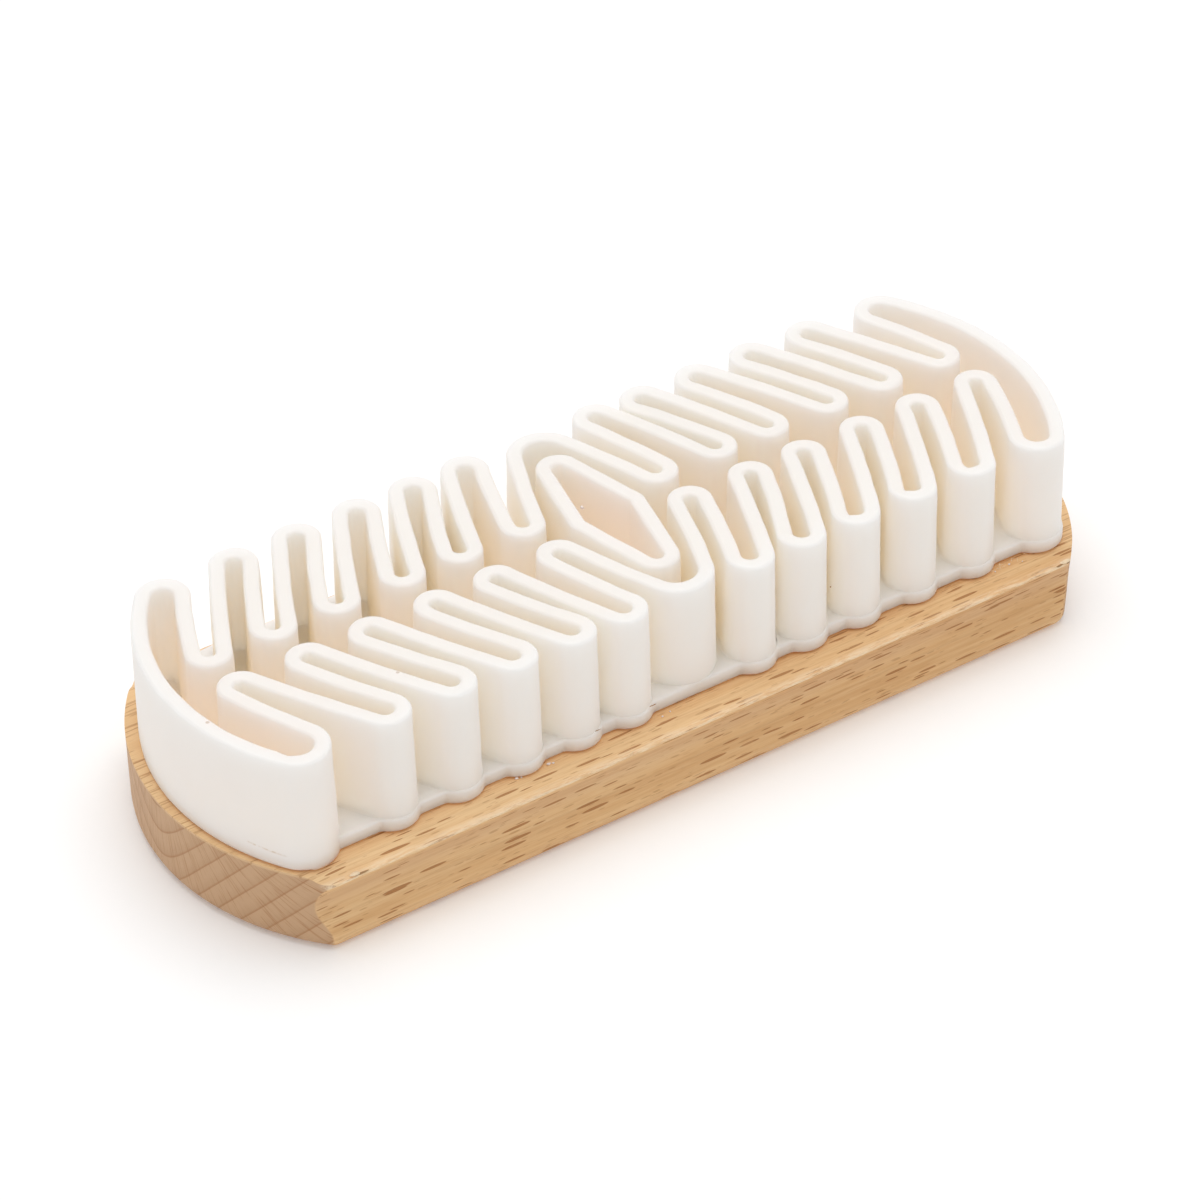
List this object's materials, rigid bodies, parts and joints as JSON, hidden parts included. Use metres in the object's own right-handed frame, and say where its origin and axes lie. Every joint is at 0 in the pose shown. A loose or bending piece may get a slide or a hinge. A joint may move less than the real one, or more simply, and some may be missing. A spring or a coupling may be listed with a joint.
{
  "type": "suede brush",
  "caption": "Flat beech block with bowed ends and finger grooves, carrying a glued pad of white crepe rubber whose upright wall snakes in tight folds round a lozenge loop.",
  "frame": {"origin": "centre of the block's underside, on the surface that the brush lies on", "axes": "+X along the length, +Y across the width, +Z from the wooden underside up to the rubber rim"},
  "size_m": [0.13, 0.0482, 0.0275],
  "materials": {
    "beech": "bare, fine-sanded beech",
    "glue": "dried contact adhesive",
    "crepe_rubber": "satin, milky white"
  },
  "bodies": {
    "root": {"beech_block": "beech", "glue_film": "glue", "base_sheet": "crepe_rubber", "wave_band": "crepe_rubber", "centre_loop": "crepe_rubber"}
  },
  "joints": []
}
